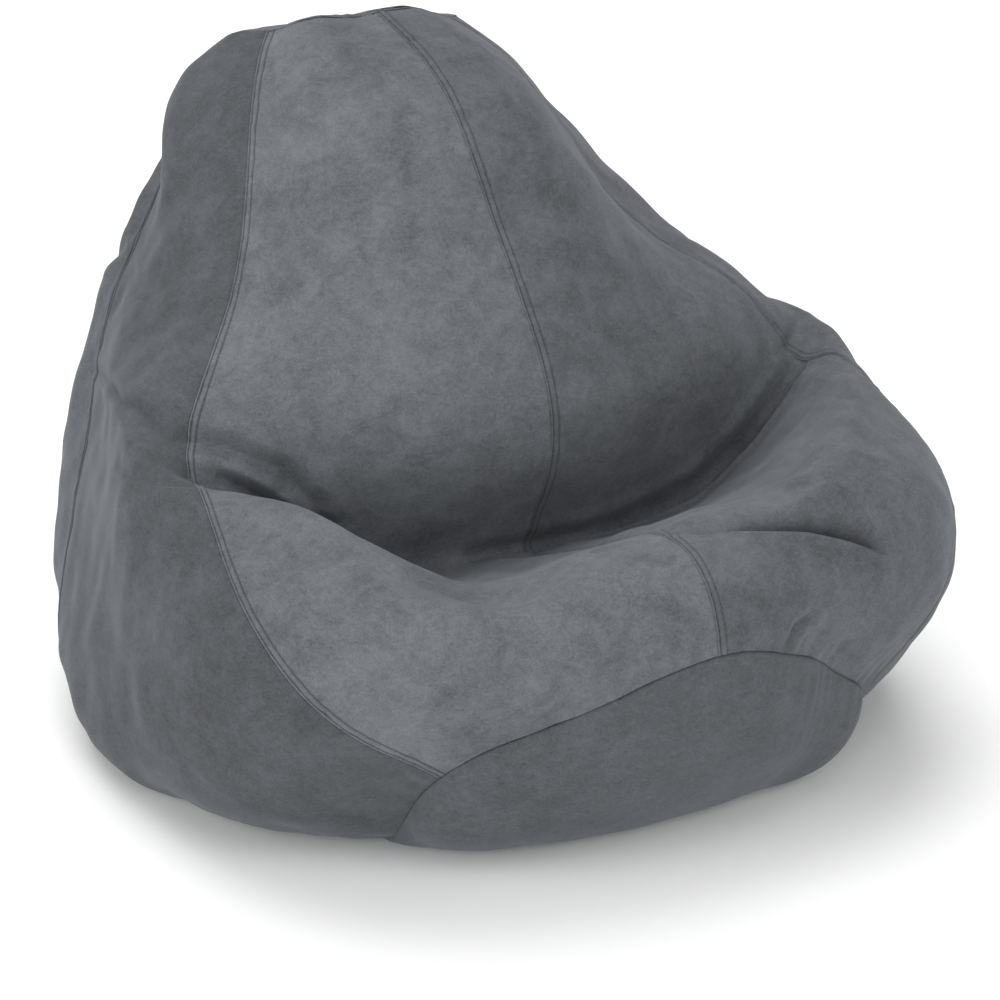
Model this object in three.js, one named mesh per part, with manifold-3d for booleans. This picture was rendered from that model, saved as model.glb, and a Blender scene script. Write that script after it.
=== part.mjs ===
// Pear-shaped bean bag chair: six sewn panels, a two-part base with a zip, a top cap, a liner and a bead filling.
// It leans back with the seat pressed in. Millimetres, +Z up; the chair faces -Y and stands on z = 0.
import * as THREE from "three";
import Module from "manifold-3d";

const manifold = await Module();
manifold.setup();

// Driving dimensions of the filled chair.
const WIDTH = 1016; // across the arms
const DEPTH = 1060; // front roll to back
const HEIGHT = 806; // floor to crown

// Sheets and clearances.
const CLOTH = 1.6; // cover fabric
const LINER_CLOTH = 0.9;
const GAP = 0.4; // left between neighbouring pieces
const LINER_OUTSIDE = CLOTH + GAP; // depths below the outer surface
const LINER_INSIDE = LINER_OUTSIDE + LINER_CLOTH;
const FILL_OUTSIDE = LINER_INSIDE + GAP;

// Half outlines of the cover, from the base seam up to the cap seam, at every 30 degrees from the front (0)
// round to the back (180). Each point is [out to the side, towards the back, up]; the other half mirrors them.
const OUTLINES = [
  // front seam: lifted base edge, front roll, seat, fold, leaning back, crown
  [[0, -482, 271], [0, -468, 318], [0, -436, 352], [0, -392, 370], [0, -345, 371], [0, -262, 330],
    [0, -46, 225], [0, -90, 340], [0, -76, 480], [0, 28, 620], [0, 150, 745], [0, 352, 798]],
  // middle of a front panel
  [[165, -450, 222], [192, -452, 275], [216, -430, 325], [232, -390, 360], [240, -335, 374], [238, -240, 352],
    [235, -50, 262], [228, -55, 390], [200, -10, 500], [155, 70, 630], [115, 175, 742], [62, 358, 792]],
  // seam over the arm
  [[292, -392, 128], [378, -372, 200], [432, -316, 268], [454, -228, 328], [442, -125, 370], [425, -38, 388],
    [408, 10, 380], [376, 50, 462], [322, 116, 520], [264, 190, 592], [197, 285, 705], [125, 385, 768]],
  // middle of a side panel
  [[312, -240, 0], [420, -175, 15], [480, -105, 80], [505, -20, 185], [500, 45, 290], [478, 75, 385],
    [448, 128, 428], [402, 195, 472], [345, 270, 522], [288, 345, 600], [218, 425, 688], [145, 428, 757]],
  // seam behind the arm
  [[310, -50, 0], [448, 75, 0], [488, 145, 50], [492, 196, 150], [478, 225, 260], [448, 248, 345],
    [416, 278, 415], [375, 318, 482], [312, 372, 548], [244, 424, 622], [176, 480, 680], [105, 465, 752]],
  // middle of a back panel
  [[175, 60, 0], [290, 240, 0], [358, 352, 20], [388, 420, 110], [385, 440, 220], [368, 446, 320],
    [342, 450, 400], [305, 462, 480], [262, 476, 555], [212, 495, 625], [145, 520, 690], [62, 483, 745]],
  // back seam
  [[0, 98, 0], [0, 290, 0], [0, 465, 22], [0, 545, 110], [0, 572, 220], [0, 572, 320],
    [0, 565, 410], [0, 560, 490], [0, 555, 560], [0, 548, 630], [0, 535, 692], [0, 490, 742]],
];

// The grid that every sheet and the filling share.
const PANELS = 6;
const COLUMNS = 30; // round the bag
const PANEL_COLUMNS = COLUMNS / PANELS;
const ROWS_PER_POINT = 2;
const BASE_ARC_ROWS = 4; // from the base seam down to the floor
const BASE_FLAT_ROWS = 2; // from there to the middle of the base
const CAP_ROWS = 2;
const SPLIT_COLUMN = 9; // where the two base halves meet the base seam
const CAP_DOME = 22;

// How far in from the base seam the base touches the floor, as a share of the way to its middle.
const TUCK_AT_FLOOR = 0.06;
const TUCK_PER_LIFT = 0.42;
const TUCK_POWER = 0.6;
const FULL_LIFT = 300;

// ---------- smooth curves through points ----------

// Value of a natural cubic through the points, one number each, at position t counted in points.
function splineThrough(values, closed) {
  const n = values.length;
  const at = (i) => values[closed ? (i + n) % n : Math.min(Math.max(i, 0), n - 1)];
  let slopes = values.map((value, i) => (at(i + 1) - at(i - 1)) / 2);
  const relaxations = 40;
  for (let pass = 0; pass < relaxations; pass++) {
    const slope = (i) => slopes[closed ? (i + n) % n : i];
    slopes = slopes.map((old, i) => {
      if (!closed && i === 0) return (3 * (values[1] - values[0]) - slope(1)) / 2;
      if (!closed && i === n - 1) return (3 * (values[i] - values[i - 1]) - slope(i - 1)) / 2;
      return (3 * (at(i + 1) - at(i - 1)) - slope(i - 1) - slope(i + 1)) / 4;
    });
  }
  return (t) => {
    const i = closed ? Math.floor(t) : Math.min(Math.floor(t), n - 2);
    const f = t - i;
    const next = closed ? (i + 1) % n : i + 1;
    const rise = f * f * (3 - 2 * f);
    return (
      values[i] * (1 - rise) + values[next] * rise +
      slopes[i] * f * (1 - f) ** 2 - slopes[next] * f * f * (1 - f)
    );
  };
}

// Curve through [x, y, z] points.
function curveThrough(points, closed) {
  const axes = [0, 1, 2].map((axis) => splineThrough(points.map((p) => p[axis]), closed));
  return (t) => axes.map((spline) => spline(t));
}

// ---------- the bag's outer surface, as rings of points from the middle of the base to the middle of the cap ----

function sideRings() {
  const last = OUTLINES.length - 1;
  const meridians = Array.from({ length: 2 * last }, (_, k) =>
    k <= last ? OUTLINES[k] : OUTLINES[2 * last - k].map(([x, y, z]) => [-x, y, z]));
  const curves = meridians.map((points) => curveThrough(points, false));
  const rows = (OUTLINES[0].length - 1) * ROWS_PER_POINT;
  return Array.from({ length: rows + 1 }, (_, row) => {
    const around = curveThrough(curves.map((curve) => curve(row / ROWS_PER_POINT)), true);
    return Array.from({ length: COLUMNS }, (_, column) => {
      const [x, y, z] = around((column * meridians.length) / COLUMNS);
      return new THREE.Vector3(x, y, Math.max(z, 0));
    });
  });
}

// Rings of the base, from its middle out to just inside the base seam. The lifted front comes down in an arc,
// and it touches the floor further in the higher the seam is lifted.
function baseRings(seam) {
  const middle = new THREE.Vector3(0, seam[SPLIT_COLUMN].y, 0);
  const feet = seam.map((p) => new THREE.Vector3(p.x, p.y, 0));
  const touch = seam.map((p, i) => {
    const inward = TUCK_AT_FLOOR + TUCK_PER_LIFT * (p.z / FULL_LIFT) ** TUCK_POWER;
    return feet[i].clone().lerp(middle, inward);
  });
  const rings = [seam.map(() => middle)];
  for (let k = 1; k <= BASE_FLAT_ROWS; k++)
    rings.push(touch.map((p) => middle.clone().lerp(p, k / BASE_FLAT_ROWS)));
  for (let k = BASE_ARC_ROWS - 1; k > 0; k--) {
    const angle = (k / BASE_ARC_ROWS) * (Math.PI / 2);
    rings.push(seam.map((p, i) =>
      touch[i].clone().lerp(feet[i], Math.cos(angle)).setZ(p.z * (1 - Math.sin(angle)))));
  }
  return rings;
}

// Rings of the cap, from just inside the cap seam to its middle.
function capRings(seam) {
  const middle = seam.reduce((sum, p) => sum.add(p), new THREE.Vector3()).divideScalar(seam.length);
  middle.z += CAP_DOME;
  return Array.from({ length: CAP_ROWS }, (_, k) =>
    seam.map((p) => p.clone().lerp(middle, (k + 1) / CAP_ROWS)));
}

// Scales the rings to the driving dimensions and centres them over the origin.
function fitToSize(rings) {
  const box = new THREE.Box3().setFromPoints(rings.flat());
  const size = box.getSize(new THREE.Vector3());
  const middle = box.getCenter(new THREE.Vector3());
  return rings.map((ring) => ring.map((p) => new THREE.Vector3(
    (p.x * WIDTH) / size.x,
    ((p.y - middle.y) * DEPTH) / size.y,
    ((p.z - box.min.z) * HEIGHT) / size.z,
  )));
}

const side = sideRings();
const base = baseRings(side[0]);
const rings = fitToSize([...base, ...side, ...capRings(side[side.length - 1])]);
const BASE_SEAM = base.length; // ring numbers
const CAP_SEAM = BASE_SEAM + side.length - 1;
const LAST_RING = rings.length - 1;

// ---------- grid cells and normals ----------

const isPole = (ring) => ring === 0 || ring === LAST_RING;
const wrap = (column) => (column + COLUMNS) % COLUMNS;
const pointAt = (ring, column) => rings[ring][wrap(column)];

// The two triangles of the cell between ring and ring + 1, facing outwards; the halves mirror each other.
function cellTriangles(ring, column) {
  const a = [ring, column];
  const b = [ring, column + 1];
  const c = [ring + 1, column + 1];
  const d = [ring + 1, column];
  const triangles = wrap(column) < COLUMNS / 2 ? [[a, b, c], [a, c, d]] : [[a, b, d], [b, c, d]];
  const same = (p, q) => p[0] === q[0] && (isPole(p[0]) || wrap(p[1]) === wrap(q[1]));
  return triangles.filter(([p, q, r]) => !same(p, q) && !same(q, r) && !same(r, p));
}

function surfaceNormals() {
  const sums = rings.map((ring) => ring.map(() => new THREE.Vector3()));
  for (let ring = 0; ring < LAST_RING; ring++)
    for (let column = 0; column < COLUMNS; column++)
      for (const corners of cellTriangles(ring, column)) {
        const [p, q, r] = corners.map(([i, j]) => pointAt(i, j));
        const area = q.clone().sub(p).cross(r.clone().sub(p));
        for (const [i, j] of corners) sums[i][isPole(i) ? 0 : wrap(j)].add(area);
      }
  return sums.map((row, i) => row.map((n, j) => (isPole(i) ? row[0] : row[j]).clone().normalize()));
}

const normals = surfaceNormals();

// Point of the grid at a depth below the outer surface.
const sunk = (ring, column, depth) =>
  pointAt(ring, column).clone().addScaledVector(normals[ring][wrap(column)], -depth);

// ---------- solids ----------

function geometryOf(positions, triangles) {
  const geometry = new THREE.BufferGeometry();
  geometry.setAttribute("position", new THREE.Float32BufferAttribute(positions.flatMap((p) => p.toArray()), 3));
  geometry.setIndex(triangles.flat());
  return geometry;
}

const solidOf = (geometry) => new manifold.Manifold(new manifold.Mesh({
  numProp: 3,
  vertProperties: new Float32Array(geometry.getAttribute("position").array),
  triVerts: new Uint32Array(geometry.index.array),
}));

function geometryFromSolid(solid) {
  const mesh = solid.getMesh();
  const geometry = new THREE.BufferGeometry();
  geometry.setAttribute("position", new THREE.Float32BufferAttribute(mesh.vertProperties, 3));
  geometry.setIndex(Array.from(mesh.triVerts));
  return geometry;
}

// The whole bag shrunk by a depth, closed.
function shrunkBag(depth) {
  const positions = [];
  const number = new Map();
  const vertex = ([ring, column]) => {
    const key = `${ring} ${isPole(ring) ? 0 : wrap(column)}`;
    if (!number.has(key)) {
      number.set(key, positions.length);
      positions.push(sunk(ring, column, depth));
    }
    return number.get(key);
  };
  const triangles = [];
  for (let ring = 0; ring < LAST_RING; ring++)
    for (let column = 0; column < COLUMNS; column++)
      for (const corners of cellTriangles(ring, column)) triangles.push(corners.map(vertex));
  return geometryOf(positions, triangles);
}

// One cut piece of cover cloth: the grid from ring to ring and column to column, its edges drawn back by half a
// gap from its neighbours, thickened inwards. A piece that goes all the way round has toColumn = COLUMNS.
function clothPanel(fromRing, toRing, fromColumn, toColumn) {
  const closedRound = toColumn - fromColumn === COLUMNS;
  const middleColumn = Math.round((fromColumn + toColumn) / 2);
  const apart = (from, to) => pointAt(...to).clone().sub(pointAt(...from)).setLength(GAP / 2);
  const drawnBack = (ring, column) => {
    const step = new THREE.Vector3();
    if (isPole(ring))
      return closedRound ? step : apart([ring, 0], [ring === 0 ? 1 : ring - 1, middleColumn]);
    if (!closedRound && column === fromColumn) step.add(apart([ring, column - 1], [ring, column + 1]));
    if (!closedRound && column === toColumn) step.add(apart([ring, column + 1], [ring, column - 1]));
    if (ring === fromRing) step.add(apart([ring, column], [ring + 1, column]));
    if (ring === toRing) step.add(apart([ring, column], [ring - 1, column]));
    return step;
  };
  const place = (ring, column, depth) => sunk(ring, column, depth).add(drawnBack(ring, column));
  const positions = [];
  const number = new Map();
  const vertex = ([ring, column], depth) => {
    const around = closedRound ? wrap(column) : column;
    const key = `${ring} ${isPole(ring) ? 0 : around} ${depth}`;
    if (!number.has(key)) {
      number.set(key, positions.length);
      positions.push(place(ring, column, depth));
    }
    return number.get(key);
  };
  const triangles = [];
  for (let ring = fromRing; ring < toRing; ring++)
    for (let column = fromColumn; column < toColumn; column++)
      for (const [a, b, c] of cellTriangles(ring, column)) {
        triangles.push([vertex(a, 0), vertex(b, 0), vertex(c, 0)]);
        triangles.push([vertex(c, CLOTH), vertex(b, CLOTH), vertex(a, CLOTH)]);
      }
  // Both panels at a seam fold their edge walls along the same diagonal, so the twisted walls can't cross.
  const edgeWall = (a, b) => {
    const [p, q, r, s] = [vertex(a, 0), vertex(b, 0), vertex(b, CLOTH), vertex(a, CLOTH)];
    if (p === q) return;
    if (a[0] + a[1] < b[0] + b[1]) triangles.push([q, p, r], [p, s, r]);
    else triangles.push([q, p, s], [q, s, r]);
  };
  for (let column = fromColumn; column < toColumn; column++) {
    if (fromRing !== 0) edgeWall([fromRing, column], [fromRing, column + 1]);
    if (toRing !== LAST_RING) edgeWall([toRing, column + 1], [toRing, column]);
  }
  if (!closedRound)
    for (let ring = fromRing; ring < toRing; ring++) {
      edgeWall([ring + 1, fromColumn], [ring, fromColumn]);
      edgeWall([ring, toColumn], [ring + 1, toColumn]);
    }
  return geometryOf(positions, triangles);
}

// Box between two corners.
function box(low, high) {
  const geometry = new THREE.BoxGeometry(high[0] - low[0], high[1] - low[1], high[2] - low[2]);
  return geometry.translate((low[0] + high[0]) / 2, (low[1] + high[1]) / 2, (low[2] + high[2]) / 2);
}

const solidBox = (low, high) => solidOf(weld(box(low, high)));

// BoxGeometry and ExtrudeGeometry repeat corners for their normals; a boolean needs them joined.
function weld(geometry) {
  const source = geometry.getAttribute("position");
  const positions = [];
  const number = new Map();
  const order = geometry.index ? Array.from(geometry.index.array) : [...Array(source.count).keys()];
  const joined = order.map((i) => {
    const p = new THREE.Vector3().fromBufferAttribute(source, i);
    const key = p.toArray().map((v) => v.toFixed(3)).join(" ");
    if (!number.has(key)) {
      number.set(key, positions.length);
      positions.push(p);
    }
    return number.get(key);
  });
  const triangles = [];
  for (let i = 0; i < joined.length; i += 3) triangles.push(joined.slice(i, i + 3));
  return geometryOf(positions, triangles);
}

// A cross-section in Y and Z, extruded along X from x0 to x1.
function alongX(profile, x0, x1) {
  const shape = new THREE.Shape(profile.map(([y, z]) => new THREE.Vector2(y, z)));
  const geometry = new THREE.ExtrudeGeometry(shape, { depth: x1 - x0, bevelEnabled: false });
  // The shape's X, Y and depth become Y, Z and X.
  const turn = new THREE.Matrix4().makeBasis(
    new THREE.Vector3(0, 1, 0), new THREE.Vector3(0, 0, 1), new THREE.Vector3(1, 0, 0));
  return geometry.applyMatrix4(turn).translate(x0, 0, 0);
}

// ---------- the zip, in the seam between the two base halves ----------

const ZIP_Y = rings[0][0].y;
const ZIP_HALF = 240; // half the coil's length
const TAPE_HALF = ZIP_HALF + 15;
const COIL_WIDTH = 2.6; // one half of the chain
const COIL_HEIGHT = 2.4;
const COIL_SLOT = 0.5; // half the slot between the coils, for the slider's post
const COIL_LOW = CLOTH + 1.5;
const COIL_TOP = COIL_LOW + COIL_HEIGHT;
const COIL_CHAMFER = 0.6;
const TAPE_THICKNESS = 0.6;
const TAPE_WIDTH = 12.5;
const TAPE_LOW = (COIL_LOW + COIL_TOP - TAPE_THICKNESS) / 2; // level with the middle of the coil
const TAPE_TOP = TAPE_LOW + TAPE_THICKNESS;
const TAPE_INNER = COIL_SLOT + COIL_WIDTH + 0.3; // a hair clear of the coil
const TAPE_OUTER = TAPE_INNER + TAPE_WIDTH;
const SLIDER_HALF = 6; // along the zip
const SLIDER_SIDE = 4.9; // half its width
const SLIDER_WALL = 1;
const SLIDER_PLAY = 0.35; // above and below the coils and the tapes
const SLIDER_AT_REST = ZIP_HALF - SLIDER_HALF - 2; // the zip is closed
const POST = COIL_SLOT - 0.25; // half the post's thickness
const STOP_GAP = 0.5;
const STOP_LENGTH = 4;
const STOP_OVERHANG = 0.3; // above and below the coils

const zipTape = (sign) => box(
  [-TAPE_HALF, ZIP_Y + Math.min(sign * TAPE_INNER, sign * TAPE_OUTER), TAPE_LOW],
  [TAPE_HALF, ZIP_Y + Math.max(sign * TAPE_INNER, sign * TAPE_OUTER), TAPE_TOP]);

// One half of the coil chain: a ribbed bar, rounded on top and below by its chamfers.
function zipCoil(sign) {
  const inner = COIL_SLOT;
  const outer = COIL_SLOT + COIL_WIDTH;
  const [cut, low, top] = [COIL_CHAMFER, COIL_LOW, COIL_TOP];
  const outline = [
    [inner + cut, low], [outer - cut, low], [outer, low + cut], [outer, top - cut],
    [outer - cut, top], [inner + cut, top], [inner, top - cut], [inner, low + cut],
  ].map(([y, z]) => [ZIP_Y + sign * y, z]);
  return alongX(sign > 0 ? outline : outline.reverse(), -ZIP_HALF, ZIP_HALF);
}

// Two plates joined by a post, with lips that hold the tapes, cut to a shield shape in plan.
function zipSlider() {
  const low = CLOTH + SLIDER_PLAY;
  const high = COIL_TOP + SLIDER_PLAY + SLIDER_WALL;
  const lipLow = TAPE_LOW - SLIDER_PLAY;
  const lipHigh = TAPE_TOP + SLIDER_PLAY;
  const inside = SLIDER_SIDE - SLIDER_WALL;
  const right = [
    [SLIDER_SIDE, low], [SLIDER_SIDE, lipLow], [inside, lipLow], [inside, low + SLIDER_WALL],
    [POST, low + SLIDER_WALL], [POST, high - SLIDER_WALL], [inside, high - SLIDER_WALL],
    [inside, lipHigh], [SLIDER_SIDE, lipHigh], [SLIDER_SIDE, high],
  ];
  const left = right.map(([y, z]) => [-y, z]).reverse();
  const body = alongX([...right, ...left].map(([y, z]) => [ZIP_Y + y, z]), -SLIDER_HALF, SLIDER_HALF);
  // Half of the shield, as shares of the slider's half length and half width.
  const edge = [[-1, 0.55], [-0.6, 1], [0.5, 1], [1, 0.7]];
  const shield = new THREE.Shape([...edge.map(([x, y]) => [x, -y]), ...edge.reverse()]
    .map(([x, y]) => new THREE.Vector2(x * SLIDER_HALF, y * SLIDER_SIDE)));
  const plan = new THREE.ExtrudeGeometry(shield, { depth: high + 1, bevelEnabled: false }).translate(0, ZIP_Y, 0);
  return geometryFromSolid(solidOf(weld(body)).intersect(solidOf(weld(plan))));
}

const zipStop = (end) => {
  const near = ZIP_HALF + STOP_GAP;
  const far = near + STOP_LENGTH;
  const half = COIL_SLOT + COIL_WIDTH;
  return box(
    [Math.min(end * near, end * far), ZIP_Y - half, COIL_LOW - STOP_OVERHANG],
    [Math.max(end * near, end * far), ZIP_Y + half, COIL_TOP + STOP_OVERHANG]);
};

// ---------- liner and filling, hollowed over the zip ----------

const TUNNEL_SIDE = TAPE_OUTER + 4; // half the tunnel's outside width
const TUNNEL_END = TAPE_HALF + 5;
const TUNNEL_TOP = COIL_TOP + 3.5;

const tunnelBox = (grow, bottom, top) => solidBox(
  [-TUNNEL_END - grow, ZIP_Y - TUNNEL_SIDE - grow, bottom],
  [TUNNEL_END + grow, ZIP_Y + TUNNEL_SIDE + grow, top]);

const liner = () => geometryFromSolid(
  solidOf(shrunkBag(LINER_OUTSIDE)).subtract(solidOf(shrunkBag(LINER_INSIDE)))
    .subtract(tunnelBox(GAP, -1, TUNNEL_TOP)));

// The liner's folded mouth: an upturned tray that closes the slot and clears the zip.
const linerClosure = () => geometryFromSolid(
  tunnelBox(0, LINER_OUTSIDE, TUNNEL_TOP)
    .subtract(tunnelBox(-LINER_CLOTH, -1, TUNNEL_TOP - LINER_CLOTH)));

const beadFill = () => geometryFromSolid(
  solidOf(shrunkBag(FILL_OUTSIDE)).subtract(tunnelBox(GAP, -1, TUNNEL_TOP + GAP)));

// ---------- the blank care label, sewn flat on the lower back ----------

const LABEL_RING = BASE_SEAM + 7; // the corner of the grid cell that it is sewn on
const LABEL_COLUMN = COLUMNS / 2 + 1;
const LABEL_SHARE = 0.62; // of that cell
const LABEL_LIFT = [0.3, 0.9]; // underside and top, above the cloth

function careLabel() {
  const [ring, column] = [LABEL_RING, LABEL_COLUMN];
  const cell = [[ring, column], [ring, column + 1], [ring + 1, column + 1], [ring + 1, column]];
  // Shrinking about the middle of the cell's fold line keeps the label flat on both triangles.
  const middle = pointAt(ring, column + 1).clone().add(pointAt(ring + 1, column)).multiplyScalar(0.5);
  const corner = ([i, j], height) => pointAt(i, j).clone().lerp(middle, 1 - LABEL_SHARE)
    .addScaledVector(normals[i][j], height);
  const positions = LABEL_LIFT.flatMap((height) => cell.map((at) => corner(at, height)));
  const triangles = [[4, 5, 7], [5, 6, 7], [0, 3, 1], [1, 3, 2]];
  for (let k = 0; k < cell.length; k++) {
    const next = (k + 1) % cell.length;
    triangles.push([k, next, next + 4], [k, next + 4, k + 4]);
  }
  return geometryOf(positions, triangles);
}

// ---------- the assembly ----------

const chair = new THREE.Group();
chair.name = "bean_bag_chair";

const suede = { color: 0x6c7177, roughness: 0.92, metalness: 0 };
const baseSuede = { color: 0x63686e, roughness: 0.95, metalness: 0 };
const polyester = { color: 0xe9e7e0, roughness: 0.85, metalness: 0 };
const beads = { color: 0xf6f6f3, roughness: 0.8, metalness: 0 };
const tapeCloth = { color: 0x555a60, roughness: 0.9, metalness: 0 };
const nylon = { color: 0x3b3f45, roughness: 0.5, metalness: 0 };
const zinc = { color: 0x9b9ea2, roughness: 0.35, metalness: 1 };
const satin = { color: 0xf1f0ec, roughness: 0.6, metalness: 0 };

function add(name, geometry, look) {
  const flat = geometry.index ? geometry.toNonIndexed() : geometry;
  flat.computeVertexNormals();
  const mesh = new THREE.Mesh(flat, new THREE.MeshStandardMaterial({ name, ...look }));
  mesh.name = name;
  chair.add(mesh);
}

// Round the bag from the front seam, left and right as seen from the front: right is +X.
const PANEL_NAMES = [
  "panel_front_right", "panel_right", "panel_back_right",
  "panel_back_left", "panel_left", "panel_front_left",
];
PANEL_NAMES.forEach((name, k) =>
  add(name, clothPanel(BASE_SEAM, CAP_SEAM, k * PANEL_COLUMNS, (k + 1) * PANEL_COLUMNS), suede));

add("base_panel_front", clothPanel(0, BASE_SEAM, -SPLIT_COLUMN, SPLIT_COLUMN), baseSuede);
add("base_panel_rear", clothPanel(0, BASE_SEAM, SPLIT_COLUMN, COLUMNS - SPLIT_COLUMN), baseSuede);
add("top_cap", clothPanel(CAP_SEAM, LAST_RING, 0, COLUMNS), suede);

add("zip_tape_front", zipTape(-1), tapeCloth);
add("zip_tape_rear", zipTape(1), tapeCloth);
add("zip_coil_front", zipCoil(-1), nylon);
add("zip_coil_rear", zipCoil(1), nylon);
add("zip_slider", zipSlider().translate(SLIDER_AT_REST, 0, 0), zinc);
add("zip_top_stop", zipStop(1), zinc);
add("zip_bottom_stop", zipStop(-1), zinc);

add("liner", liner(), polyester);
add("liner_closure", linerClosure(), polyester);
add("bead_fill", beadFill(), beads);
add("care_label", careLabel(), satin);

export default chair;
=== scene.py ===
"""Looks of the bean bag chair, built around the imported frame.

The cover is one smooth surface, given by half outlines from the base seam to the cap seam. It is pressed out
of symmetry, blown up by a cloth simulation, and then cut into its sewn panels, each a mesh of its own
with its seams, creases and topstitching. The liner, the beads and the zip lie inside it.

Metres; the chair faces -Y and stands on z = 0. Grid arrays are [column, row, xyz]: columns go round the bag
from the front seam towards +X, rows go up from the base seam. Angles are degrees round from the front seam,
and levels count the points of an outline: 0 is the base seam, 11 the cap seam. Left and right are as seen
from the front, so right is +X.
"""

import math

import bpy
import numpy as np
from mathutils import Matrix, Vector


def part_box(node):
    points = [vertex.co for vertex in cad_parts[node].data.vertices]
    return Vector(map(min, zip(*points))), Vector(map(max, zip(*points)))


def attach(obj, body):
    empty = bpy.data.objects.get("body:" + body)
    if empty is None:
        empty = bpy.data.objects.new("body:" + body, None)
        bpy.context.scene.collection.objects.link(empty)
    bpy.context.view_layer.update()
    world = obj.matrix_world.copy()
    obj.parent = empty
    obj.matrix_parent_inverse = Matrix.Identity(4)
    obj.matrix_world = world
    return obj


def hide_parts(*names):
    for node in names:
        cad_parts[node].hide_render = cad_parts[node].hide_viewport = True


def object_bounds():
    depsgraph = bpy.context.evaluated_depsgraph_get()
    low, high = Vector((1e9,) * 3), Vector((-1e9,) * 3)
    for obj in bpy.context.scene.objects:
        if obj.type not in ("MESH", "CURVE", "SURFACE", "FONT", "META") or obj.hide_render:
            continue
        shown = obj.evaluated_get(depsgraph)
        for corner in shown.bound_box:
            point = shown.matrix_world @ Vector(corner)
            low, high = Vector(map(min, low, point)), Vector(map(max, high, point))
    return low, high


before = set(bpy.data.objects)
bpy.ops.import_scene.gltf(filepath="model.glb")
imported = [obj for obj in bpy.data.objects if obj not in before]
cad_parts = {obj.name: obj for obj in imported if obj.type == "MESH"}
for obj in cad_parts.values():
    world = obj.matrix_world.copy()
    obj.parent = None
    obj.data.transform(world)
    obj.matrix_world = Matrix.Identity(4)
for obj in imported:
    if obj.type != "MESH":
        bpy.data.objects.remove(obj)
cad_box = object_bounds()

MM = 0.001
BODY = "bag"


def new_object(name, data):
    """An object in the scene."""
    thing = bpy.data.objects.new(name, data)
    bpy.context.scene.collection.objects.link(thing)
    return thing


# ---- shape

# Half outlines of the cover in mm, at every 30 degrees from the front seam (0) to the back seam (180), as in
# the CAD: [out to the side, towards the back, up], from the base seam to the cap seam.
OUTLINES = [
    # front seam: lifted base edge, front roll, seat, fold, leaning back, crown
    [[0, -482, 271], [0, -468, 318], [0, -436, 352], [0, -392, 370],
     [0, -345, 371], [0, -262, 330], [0, -46, 225], [0, -90, 340],
     [0, -76, 480], [0, 28, 620], [0, 150, 745], [0, 352, 798]],
    # middle of a front panel
    [[165, -450, 222], [192, -452, 275], [216, -430, 325], [232, -390, 360],
     [240, -335, 374], [238, -240, 352], [235, -50, 262], [228, -55, 390],
     [200, -10, 500], [155, 70, 630], [115, 175, 742], [62, 358, 792]],
    # seam over the arm
    [[292, -392, 128], [378, -372, 200], [432, -316, 268], [454, -228, 328],
     [442, -125, 370], [425, -38, 388], [408, 10, 380], [376, 50, 462],
     [322, 116, 520], [264, 190, 592], [197, 285, 705], [125, 385, 768]],
    # middle of a side panel
    [[312, -240, 0], [420, -175, 15], [480, -105, 80], [505, -20, 185],
     [500, 45, 290], [478, 75, 385], [448, 128, 428], [402, 195, 472],
     [345, 270, 522], [288, 345, 600], [218, 425, 688], [145, 428, 757]],
    # seam behind the arm
    [[310, -50, 0], [448, 75, 0], [488, 145, 50], [492, 196, 150],
     [478, 225, 260], [448, 248, 345], [416, 278, 415], [375, 318, 482],
     [312, 372, 548], [244, 424, 622], [176, 480, 680], [105, 465, 752]],
    # middle of a back panel
    [[175, 60, 0], [290, 240, 0], [358, 352, 20], [388, 420, 110],
     [385, 440, 220], [368, 446, 320], [342, 450, 400], [305, 462, 480],
     [262, 476, 555], [212, 495, 625], [145, 520, 690], [62, 483, 745]],
    # back seam
    [[0, 98, 0], [0, 290, 0], [0, 465, 22], [0, 545, 110],
     [0, 572, 220], [0, 572, 320], [0, 565, 410], [0, 560, 490],
     [0, 555, 560], [0, 548, 630], [0, 535, 692], [0, 490, 742]],
]
LEVELS = len(OUTLINES[0])
MERIDIANS = 2 * (len(OUTLINES) - 1)

PANELS = 6
COLUMNS = 240  # of the working grid, round the bag
PANEL_COLUMNS = COLUMNS // PANELS
ROWS_PER_LEVEL = 12
ROWS = (LEVELS - 1) * ROWS_PER_LEVEL
BASE_ARC_ROWS = 12
BASE_FLAT_ROWS = 6
BASE_ROWS = BASE_ARC_ROWS + BASE_FLAT_ROWS
CAP_ROWS = 6
CAP_DOME = 8
ZIP_COLUMN = round(COLUMNS * 108 / 360)  # where the zip's seam meets the base seam
TUCK_AT_FLOOR = 0.06  # share of the way in from the base seam at which the base reaches the floor
TUCK_PER_LIFT = 0.42  # added where the base seam is lifted by FULL_LIFT
FULL_LIFT = 300
TUCK_POWER = 0.6

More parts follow.
